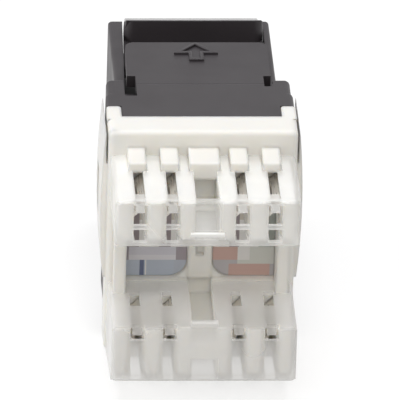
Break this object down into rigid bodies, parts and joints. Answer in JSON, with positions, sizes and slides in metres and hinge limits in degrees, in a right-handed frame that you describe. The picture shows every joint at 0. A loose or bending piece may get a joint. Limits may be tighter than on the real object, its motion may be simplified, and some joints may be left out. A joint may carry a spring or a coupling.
{
  "type": "keystone jack",
  "caption": "Snap-in keystone data jack: black housing with a plug socket and sprung latch, white insulation-displacement block behind it, and a clear dust cap on each row of wire slots.",
  "frame": {"origin": "centre of the nose's front face, in the middle of the plug socket's width, where a plug enters", "axes": "+Y out of the plug socket towards the plug, -Y towards the cable side, +Z towards the sprung latch, +X to the right as seen from the cable side"},
  "size_m": [0.018, 0.0354, 0.0218],
  "materials": {
    "black_moulding": "satin black moulded plastic",
    "black_insert": "matt black moulded plastic",
    "circuit_board": "green solder mask",
    "white_moulding": "satin white moulded plastic",
    "label_left": "printed film",
    "label_right": "printed film",
    "clear_cap": "clear polycarbonate, slightly milky",
    "gold_plate": "gold plated",
    "tin_plate": "tin plated"
  },
  "bodies": {
    "jack": {"housing": "black_moulding", "contact_sled": "black_insert", "circuit_board": "circuit_board", "idc_block": "white_moulding", "wiring_label_left": "label_left", "wiring_label_right": "label_right", "spring_wire_1": "gold_plate", "spring_wire_2": "gold_plate", "spring_wire_3": "gold_plate", "spring_wire_4": "gold_plate", "spring_wire_5": "gold_plate", "spring_wire_6": "gold_plate", "spring_wire_7": "gold_plate", "spring_wire_8": "gold_plate", "idc_contact_1": "tin_plate", "idc_contact_2": "tin_plate", "idc_contact_3": "tin_plate", "idc_contact_4": "tin_plate", "idc_contact_5": "tin_plate", "idc_contact_6": "tin_plate", "idc_contact_7": "tin_plate", "idc_contact_8": "tin_plate"},
    "latch": {"latch_tongue": "black_moulding"},
    "upper_cap": {"upper_dust_cap": "clear_cap"},
    "lower_cap": {"lower_dust_cap": "clear_cap"}
  },
  "joints": [
    {"name": "latch_press", "type": "hinge", "parent": "jack", "child": "latch", "pos_m": [0, -0.0162, 0.00945], "axis": [-1, 0, 0], "range_deg": [0, 7], "stiffness_Nm_per_rad": 0.27},
    {"name": "upper_cap_pull", "type": "slide", "parent": "jack", "child": "upper_cap", "axis": [0, -1, 0], "range_m": [0, 0.01]},
    {"name": "lower_cap_pull", "type": "slide", "parent": "jack", "child": "lower_cap", "axis": [0, -1, 0], "range_m": [0, 0.01]}
  ]
}
